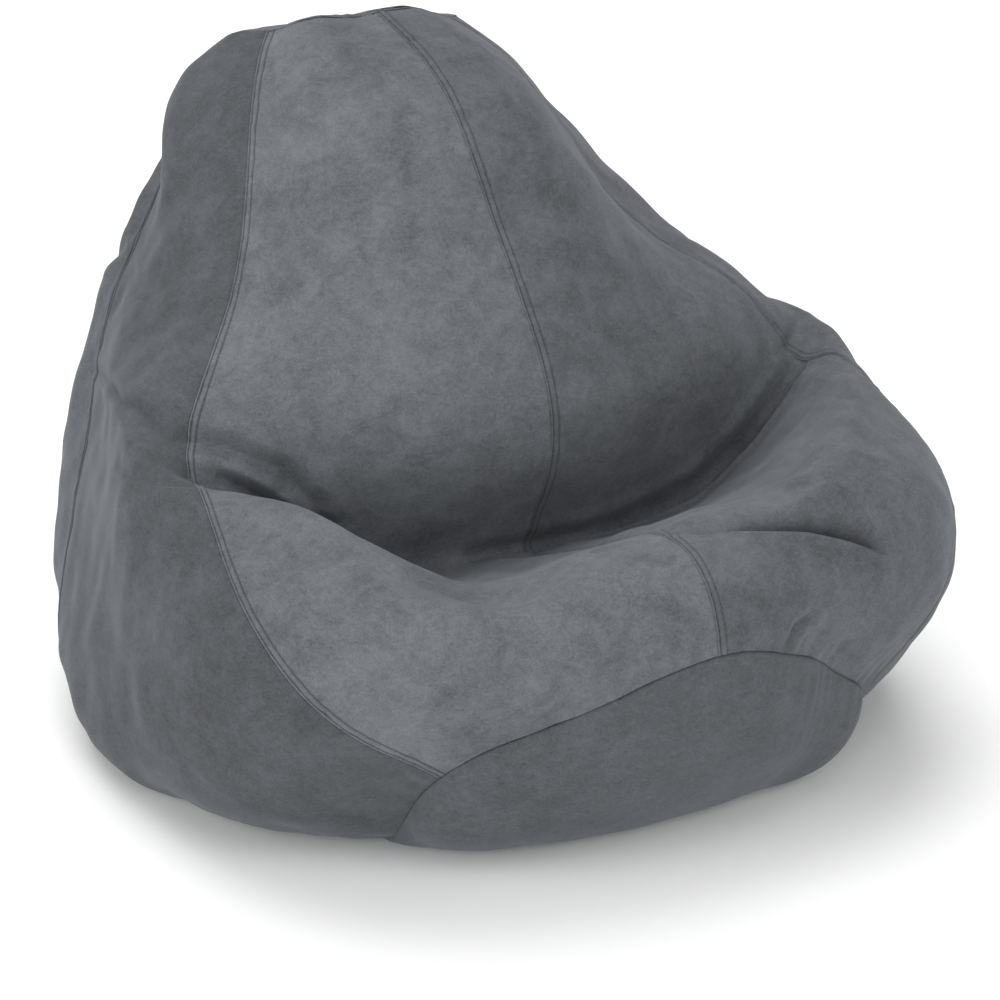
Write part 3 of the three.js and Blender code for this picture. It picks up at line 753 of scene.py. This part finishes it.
def build_base_half(skin, name, material, first, last, node):
    """Half of the base, between two columns of the working grid, from its seam to its middle."""
    u = np.arange(first, last + 0.25, 0.5)
    v = rows_from_seam(skin)
    points, normals = skin.at(u[:, None] % COLUMNS, v)
    seam = bump(v * BASE_ROWS_MM, ROUND_SEAM_WIDTH) * np.ones(points.shape[:2])
    pucker = waves(points, 16 * MM, seed=8) * bump(v - 1.2, 1.6)
    gathered = gathers(u[:, None]) * np.exp(-v * BASE_ROWS_MM / GATHER_REACH) * ramp(v, 0, 0.5)
    swell = BASE_SWELL_HEIGHT * waves(points, 50 * MM, seed=9) * ramp(v, 0, 3)
    lift = -SEAM_DEPTH * seam + PUCKER_HEIGHT * pucker + gathered + swell
    points = on_floor(points + normals * (lift * MM)[..., None])
    # Columns run backwards so that the faces point out: rows go in towards the middle here.
    vertices, faces = shell(points[::-1], (points - normals * CLOTH)[::-1])
    # The seam's groove is also darkened in colour: painted shade.
    new_piece(name, vertices, faces, material, [node], seam[::-1])


def build_cap(skin, material):
    """The small round cap that the six panels run into."""
    v = rows_from_seam(skin)
    points, normals = skin.at(np.arange(COLUMNS)[:, None], v)
    seam = bump(v * BASE_ROWS_MM, ROUND_SEAM_WIDTH) * np.ones(points.shape[:2])
    pucker = waves(points, 14 * MM, seed=10) * bump(v - 1.2, 1.4)
    lift = PUCKER_HEIGHT * pucker - SEAM_DEPTH * seam
    points = points + normals * (lift * MM)[..., None]
    vertices, faces = shell(points, points - normals * CLOTH, True)
    # The seam's groove is also darkened in colour: painted shade.
    new_piece("top_cap_cloth", vertices, faces, material, ["top_cap"], seam)


# ---- inside the cover

# Creases are wider and deeper inside, by these factors, to stay clear of the cover.
INNER_CREASE_WIDTH, INNER_CREASE_DEPTH = 2, 1.2
LINER_OUTSIDE, LINER_INSIDE, BEADS_OUTSIDE = 6.6 * MM, 7.5 * MM, 11 * MM  # below the cover's skin
ZIP_CLEAR_FADE = 30 * MM
ZIP_CLEAR_X, ZIP_CLEAR_Y, ZIP_CLEAR_Z = 262 * MM, 22 * MM, 9.6 * MM


def clear_of_zip(points, extra):
    """Lifts the lowest points over the zip and the liner's mouth."""
    middle = sum(corner[1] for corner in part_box("liner_closure")) / 2
    off_x = np.abs(points[..., 0]) - ZIP_CLEAR_X
    off_y = np.abs(points[..., 1] - middle) - ZIP_CLEAR_Y
    near = 1 - ramp(np.maximum(off_x, off_y), 0, ZIP_CLEAR_FADE)
    points[..., 2] = np.maximum(points[..., 2], (ZIP_CLEAR_Z + extra) * near)
    return points


def inner_skin(grids, lines, depth):
    """One grid of the whole bag, from the base's middle to the cap's middle, set in by depth."""
    base, side, cap = grids
    rings = np.concatenate([base[:, :0:-1], side, cap[:, 1:]], 1)
    skin = Skin(rings)
    skin.normals[:, 0] = (0, 0, -1)
    wide = [(INNER_CREASE_WIDTH * below, INNER_CREASE_WIDTH * above, INNER_CREASE_DEPTH * deep, line, rows)
            for below, above, deep, line, rows in lines]
    side_rows = np.arange(rings.shape[1]) - (base.shape[1] - 1)
    depth = depth + np.maximum(crease_depth(skin.points, side_rows, wide), 0)
    return clear_of_zip(skin.points - skin.normals * depth[..., None], depth)


def build_inside(grids, lines):
    """The liner, as a thin bag, and the beads, as one body."""
    outer, inner = inner_skin(grids, lines, LINER_OUTSIDE), inner_skin(grids, lines, LINER_INSIDE)
    vertices, faces = shell(outer, inner, True)
    new_piece("liner_bag", vertices, faces, woven_liner(), ["liner"])
    points = inner_skin(grids, lines, BEADS_OUTSIDE)
    columns, rows = points.shape[:2]
    faces = [(c * rows + r, (c + 1) % columns * rows + r, (c + 1) % columns * rows + r + 1, c * rows + r + 1)
             for c in range(columns) for r in range(rows - 1)]
    new_piece("bead_mass", points.reshape(-1, 3), faces, bead_material(), ["bead_fill"])


LABEL_ANGLES, LABEL_LEVELS = (194.6, 201.2), (3.6, 3.92)
LABEL_COLUMNS, LABEL_ROWS = 25, 19
LABEL_CLOTH = 0.5 * MM
LABEL_LOW, LABEL_RISE = 0.9, 0.7  # mm: its sewn edge above the cover, and its middle above that
LABEL_SEWN = 0.5  # mm that the stitching draws it down
FAR_OFF = 100.0  # mm: no seam matters there


def build_label(panel):
    """The blank care label, sewn flat on the lower back by its four edges."""
    u = np.linspace(*LABEL_ANGLES, LABEL_COLUMNS) * COLUMNS / 360
    v = np.linspace(*LABEL_LEVELS, LABEL_ROWS) * ROWS_PER_LEVEL
    points, normals = panel.skin.at(u[:, None], v[None])
    across, down = np.arange(LABEL_COLUMNS), np.arange(LABEL_ROWS)
    edge = np.minimum(np.minimum(across, across[::-1])[:, None], np.minimum(down, down[::-1])[None])
    far = np.full(edge.shape, FAR_OFF)
    cover, _ = Panel.relief(points, far, far, far)
    ripple = 0.15 * waves(points, 14 * MM, seed=12)
    height = cover + LABEL_LOW + LABEL_RISE * ramp(edge, 0, 2) - LABEL_SEWN * bump(edge - 1.0, 0.6) + ripple
    outer = points + normals * (height * MM)[..., None]
    vertices, faces = shell(outer, outer - normals * LABEL_CLOTH)
    new_piece("care_label_blank", vertices, faces, label_material(), ["care_label"])


# ---- materials

# Brightness of each panel's suede: matched to the photo where it shows, guessed elsewhere. Those of
# panel_front_right, panel_left and the base began as a fit to the photo, and were then set one by one.
# The suede is the same in every panel: where these tones were matched, they make whole panels lighter or
# darker as painted light and painted shade.
PANEL_PAINTED_LIGHT_TONES = {
    "panel_front_left": 1.12, "panel_front_right": 0.94, "panel_left": 0.67,
    "panel_right": 0.90, "panel_back_right": 0.95, "panel_back_left": 0.85,
}


class Nodes:
    """A material's node tree, with short calls for the nodes used here."""

    def __init__(self, name):
        self.material = bpy.data.materials.new(name)
        self.material.use_nodes = True
        self.tree = self.material.node_tree
        self.shader = self.tree.nodes["Principled BSDF"]
        self.coords = self.add("ShaderNodeTexCoord").outputs["Object"]

    def add(self, kind, **settings):
        node = self.tree.nodes.new(kind)
        for key, value in settings.items():
            setattr(node, key, value)
        return node

    def link(self, source, target):
        self.tree.links.new(source, target)

    def stretched(self, scale, rotation=(0, 0, 0)):
        """Object coordinates, scaled and turned, for a grain that runs one way."""
        node = self.add("ShaderNodeMapping")
        node.inputs["Scale"].default_value = scale
        node.inputs["Rotation"].default_value = rotation
        self.link(self.coords, node.inputs["Vector"])
        return node.outputs["Vector"]

    def noise(self, scale, detail=2.0, roughness=0.5, distortion=0.0, vector=None):
        node = self.add("ShaderNodeTexNoise")
        node.inputs["Scale"].default_value = scale
        node.inputs["Detail"].default_value = detail
        node.inputs["Roughness"].default_value = roughness
        node.inputs["Distortion"].default_value = distortion
        self.link(vector or self.coords, node.inputs["Vector"])
        return node.outputs["Fac"]

    def waves(self, direction, scale, distortion):
        """Parallel bands."""
        node = self.add("ShaderNodeTexWave", wave_type="BANDS", bands_direction=direction)
        node.inputs["Scale"].default_value = scale
        node.inputs["Distortion"].default_value = distortion
        self.link(self.coords, node.inputs["Vector"])
        return node.outputs["Fac"]

    def scaled(self, value, low, high, to_low, to_high):
        """The value, taken from one range to another."""
        node = self.add("ShaderNodeMapRange")
        for key, number in (("From Min", low), ("From Max", high), ("To Min", to_low), ("To Max", to_high)):
            node.inputs[key].default_value = number
        self.link(value, node.inputs["Value"])
        return node.outputs["Result"]

    def math(self, operation, first, second):
        node = self.add("ShaderNodeMath", operation=operation)
        for socket, value in zip(node.inputs, (first, second)):
            if isinstance(value, (int, float)):
                socket.default_value = value
            else:
                self.link(value, socket)
        return node.outputs["Value"]

    def colour(self, value, stops):
        """Colours the shader by a ramp with stops of (place, colour)."""
        node = self.add("ShaderNodeValToRGB")
        elements = node.color_ramp.elements
        while len(elements) < len(stops):
            elements.new(0.5)
        for element, (place, colour) in zip(elements, stops):
            element.position, element.color = place, (*colour, 1)
        self.link(value, node.inputs["Fac"])
        self.link(node.outputs["Color"], self.shader.inputs["Base Color"])

    def attribute(self, name):
        return self.add("ShaderNodeAttribute", attribute_name=name).outputs["Fac"]

    def bumps(self, height, strength, distance):
        node = self.add("ShaderNodeBump")
        node.inputs["Strength"].default_value = strength
        node.inputs["Distance"].default_value = distance
        self.link(height, node.inputs["Height"])
        self.link(node.outputs["Normal"], self.shader.inputs["Normal"])

    def set(self, **values):
        for key, value in values.items():
            self.shader.inputs[key.replace("_", " ")].default_value = value


# The base's tone darkens it as painted shade; the cap's leaves it as it is.
BASE_PAINTED_SHADE_TONE, CAP_TONE = 0.80, 1.0
BASE_CLOUDS = 0.8
# The darkest stop is reached only where the grooves are darkened: painted shade.
SUEDE_PAINTED_SHADE = (0.028, 0.030, 0.033)
SUEDE_DARK = (0.059, 0.062, 0.068)
SUEDE_LIGHT = (0.127, 0.135, 0.145)
NAP_SPREAD = 0.15  # to each side of its mean, from the darkest to the lightest


def toned(colour, tone):
    """The colour, brighter or darker by the factor tone."""
    return tuple(channel * tone for channel in colour)


def suede(name, tone, clouds=1.2):
    """Brushed faux suede: clouds of nap lying either way, fine streaks and short fibres."""
    # tone lightens or darkens the whole suede; for the matched panels and the base this is painted light and
    # painted shade.
    nodes = Nodes(name)
    large = nodes.noise(8, 3, 0.55, 0.6)
    middle = nodes.noise(30, 4, 0.62, 0.8)
    flecks = nodes.noise(120, 4, 0.68, 0.9, nodes.stretched((1, 1, 1.6), (0.3, 0.5, 0.2)))
    grain = nodes.noise(430, 3, 0.75)
    nap = nodes.math("MULTIPLY", large, 0.26 * clouds)
    nap = nodes.math("ADD", nap, nodes.math("MULTIPLY", middle, 0.28 * clouds))
    nap = nodes.math("ADD", nap, nodes.math("MULTIPLY", flecks, 0.32))
    nap = nodes.math("ADD", nap, nodes.math("MULTIPLY", grain, 0.40))
    mean = 0.5 * (0.54 * clouds + 0.72)  # half the sum of the four weights
    level = nodes.scaled(nap, mean - NAP_SPREAD, mean + NAP_SPREAD, 0.4, 1)
    # Painted shade in the grooves of the seams and the stitch rows, and a painted highlight on the folded
    # edges.
    level = nodes.math("SUBTRACT", level, nodes.math("MULTIPLY", nodes.attribute("painted_shading"), 0.5))
    stops = ((0.0, SUEDE_PAINTED_SHADE), (0.4, SUEDE_DARK), (1.0, SUEDE_LIGHT))
    nodes.colour(level, [(place, toned(shade, tone)) for place, shade in stops])
    rough = nodes.scaled(middle, 0.3, 0.7, 0.82, 0.98)
    nodes.link(rough, nodes.shader.inputs["Roughness"])
    nodes.set(Specular_IOR_Level=0.1, Sheen_Weight=0.16, Sheen_Roughness=0.45)
    nodes.shader.inputs["Sheen Tint"].default_value = (0.75, 0.8, 0.88, 1)
    fibres = nodes.noise(900, 2, 0.6)
    height = nodes.math("ADD", nodes.math("MULTIPLY", grain, 0.6), nodes.math("MULTIPLY", fibres, 0.4))
    nodes.bumps(height, 0.5, 0.0012)
    return nodes.material


def thread_material():
    """Twisted polyester thread, a little darker than the cloth as painted shade along the stitch rows."""
    nodes = Nodes("thread")
    twist = nodes.noise(1500, 2, 0.6)
    nodes.colour(twist, [(0.3, (0.032, 0.036, 0.040)), (0.7, (0.070, 0.075, 0.083))])
    nodes.set(Roughness=0.6, Specular_IOR_Level=0.3, Sheen_Weight=0.1)
    nodes.bumps(twist, 0.4, 0.0004)
    return nodes.material


def woven_cloth(name, pitch, dark, light, roughness):
    """A plain woven cloth with slubs in its yarn."""
    nodes = Nodes(name)
    height = nodes.math("MULTIPLY", nodes.waves("X", 1 / pitch, 0.4), nodes.waves("DIAGONAL", 1 / pitch, 0.4))
    slubs_and_weave_shade = nodes.math("MULTIPLY", height, 0.5)
    slubs_and_weave_shade = nodes.math("ADD", slubs_and_weave_shade, nodes.math("MULTIPLY", nodes.noise(90, 3), 0.5))
    # Partly the yarn's slubs, partly darker where the weave lies low: painted shade.
    nodes.colour(slubs_and_weave_shade, [(0.2, dark), (0.7, light)])
    nodes.set(Roughness=roughness, Specular_IOR_Level=0.25, Sheen_Weight=0.1)
    nodes.bumps(height, 0.5, 0.0004)
    return nodes.material


def woven_liner():
    """Thin off-white polyester."""
    return woven_cloth("woven_polyester", 0.0012, (0.66, 0.65, 0.62), (0.83, 0.82, 0.79), 0.8)


def label_material():
    """Blank white satin."""
    return woven_cloth("label_satin", 0.0006, (0.72, 0.71, 0.68), (0.86, 0.85, 0.83), 0.5)


def bead_material():
    """Loose white foam beads of about 4 mm."""
    nodes = Nodes("foam_beads")
    cells = nodes.add("ShaderNodeTexVoronoi", feature="SMOOTH_F1")
    cells.inputs["Scale"].default_value = 240
    nodes.link(nodes.coords, cells.inputs["Vector"])
    round_tops_and_gap_shade = nodes.scaled(cells.outputs["Distance"], 0, 0.8, 1, 0)
    # Darker towards the gaps between the beads: painted shade.
    nodes.colour(round_tops_and_gap_shade, [(0.2, (0.45, 0.45, 0.44)), (0.6, (0.85, 0.85, 0.84))])
    nodes.set(Roughness=0.7, Subsurface_Weight=0.1)
    nodes.bumps(round_tops_and_gap_shade, 1.0, 0.002)
    return nodes.material


def nylon_coil():
    """Dark nylon with the ribs of a coil."""
    nodes = Nodes("nylon_coil")
    ribs_and_rib_shade = nodes.waves("X", 210, 0.1)
    # Darker between the ribs: painted shade.
    nodes.colour(ribs_and_rib_shade, [(0.2, (0.018, 0.021, 0.025)), (0.8, (0.05, 0.055, 0.062))])
    nodes.set(Roughness=0.42, Specular_IOR_Level=0.5)
    nodes.bumps(ribs_and_rib_shade, 0.8, 0.0008)
    return nodes.material


def zip_metal():
    """Zinc, brushed and slightly worn."""
    nodes = Nodes("zip_zinc")
    scratches = nodes.noise(700, 3, 0.6, 0.0, nodes.stretched((1, 0.15, 1)))
    nodes.colour(scratches, [(0.3, (0.42, 0.43, 0.45)), (0.7, (0.62, 0.63, 0.65))])
    nodes.link(nodes.scaled(scratches, 0.3, 0.7, 0.28, 0.45), nodes.shader.inputs["Roughness"])
    nodes.set(Metallic=1.0)
    nodes.bumps(scratches, 0.15, 0.0002)
    return nodes.material


def dress_zip():
    """Gives the carried-over zip nodes their materials."""
    looks = (
        (woven_cloth("zip_tape_cloth", 0.0008, (0.045, 0.05, 0.056), (0.10, 0.11, 0.12), 0.85),
         ("zip_tape_front", "zip_tape_rear")),
        (nylon_coil(), ("zip_coil_front", "zip_coil_rear")),
        (zip_metal(), ("zip_slider", "zip_top_stop", "zip_bottom_stop")),
        (woven_liner(), ("liner_closure",)),
    )
    for material, names in looks:
        for name in names:
            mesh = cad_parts[name].data
            mesh.materials.clear()
            mesh.materials.append(material)


# ---- camera, floor and light


CAMERA_AIM = Vector((-0.014, -0.0456, 0.278))
CAMERA_AZIMUTH, CAMERA_ELEVATION, CAMERA_DISTANCE = -28, 23, 4.0
CAMERA_LENS = 118.5  # mm
LAMP_DISTANCE = 5
FLOOR_REACH = 12


def turned_to(location, aim):
    """The turn that points a camera or a lamp from its location at aim."""
    return (aim - location).to_track_quat("-Z", "Y")


def direction(azimuth, elevation):
    """Unit vector towards an azimuth and elevation in degrees. Azimuth 0 is in front, 90 on the right."""
    around, up = math.radians(azimuth), math.radians(elevation)
    return Vector((math.sin(around) * math.cos(up), -math.cos(around) * math.cos(up), math.sin(up)))


def make_camera():
    """The camera, at about the photograph's angle."""
    camera = new_object("camera", bpy.data.cameras.new("camera"))
    camera.data.lens = CAMERA_LENS
    camera.location = CAMERA_AIM + direction(CAMERA_AZIMUTH, CAMERA_ELEVATION) * CAMERA_DISTANCE
    camera.rotation_mode = "QUATERNION"
    camera.rotation_quaternion = turned_to(camera.location, CAMERA_AIM)
    bpy.context.scene.camera = camera


def sun_light(name, azimuth, elevation, strength, angle):
    """A soft light from far away. angle is how wide its source looks, in degrees."""
    light = bpy.data.lights.new(name, "SUN")
    light.energy, light.angle = strength * math.pi, math.radians(angle)
    lamp = new_object(name, light)
    lamp.location = direction(azimuth, elevation) * LAMP_DISTANCE
    lamp.rotation_mode = "QUATERNION"
    lamp.rotation_quaternion = turned_to(lamp.location, Vector((0, 0, 0)))


# Soft lights: azimuth, elevation, strength, how wide the source looks. The strengths began as a fit to the
# photo, and were then set one by one.
LIGHTS = {
    "front": (-36, 18, 0.48, 40),
    "left": (-95, 25, 0.35, 40),
    "right": (25, 35, 0.26, 40),
    "top": (-50, 80, 0.37, 60),
    "back": (170, 60, 0.54, 50),
}


def make_sky():
    """A dim sky over a bright band at the horizon, which is the backdrop of the low views."""
    world = bpy.data.worlds.new("studio")
    world.use_nodes = True
    tree = world.node_tree
    height = tree.nodes.new("ShaderNodeSeparateXYZ")
    tree.links.new(tree.nodes.new("ShaderNodeTexCoord").outputs["Generated"], height.inputs["Vector"])
    sky = tree.nodes.new("ShaderNodeValToRGB")
    for element, (place, shade) in zip(sky.color_ramp.elements, ((0.12, 0.95), (0.25, 0.07))):
        element.position, element.color = place, (shade, shade, shade, 1)
    tree.links.new(height.outputs["Z"], sky.inputs["Fac"])
    tree.links.new(sky.outputs["Color"], tree.nodes["Background"].inputs["Color"])
    bpy.context.scene.world = world


def make_floor():
    """The plain pale floor."""
    nodes = Nodes("floor_pale")
    tone = nodes.noise(3, 2)
    nodes.colour(tone, [(0.3, (0.92, 0.92, 0.92)), (0.7, (0.95, 0.95, 0.95))])
    nodes.set(Roughness=0.6, Specular_IOR_Level=0.3)
    corners = [(x * FLOOR_REACH, y * FLOOR_REACH, 0) for x, y in ((-1, -1), (1, -1), (1, 1), (-1, 1))]
    mesh = bpy.data.meshes.new("floor")
    mesh.from_pydata(corners, [], [(0, 1, 2, 3)])
    mesh.materials.append(nodes.material)
    new_object("floor", mesh)


def make_studio():
    """Sky, lights and floor."""
    make_sky()
    for name, light in LIGHTS.items():
        sun_light(name, *light)
    bpy.context.scene.view_settings.view_transform = "Standard"
    make_floor()


# ---- assembly


def build_bag():
    """The whole bag, from its skin to what lies inside."""
    side = push_grid(fitted_side())
    grids = base_grid(side[:, 0]), side, cap_grid(side[:, -1])
    grids = inflate(*grids)
    base, side, cap = (Skin(grid, outward) for grid, outward in zip(grids, (-1, 1, 1)))
    join_normals([(base, 0), (side, 0)])
    join_normals([(cap, 0), (side, -1)])
    lines = crease_lines(side)
    panels = build_panels(side, lines)
    build_topstitching(panels)
    base_suede = suede("suede_base", BASE_PAINTED_SHADE_TONE, BASE_CLOUDS)
    build_base_half(base, "base_front", base_suede, -ZIP_COLUMN, ZIP_COLUMN, "base_panel_front")
    build_base_half(base, "base_rear", base_suede, ZIP_COLUMN, COLUMNS - ZIP_COLUMN, "base_panel_rear")
    build_cap(cap, suede("suede_cap", CAP_TONE))
    build_inside(grids, lines)
    build_label(panels[BACK_LEFT])


make_camera()
make_studio()
build_bag()
dress_zip()
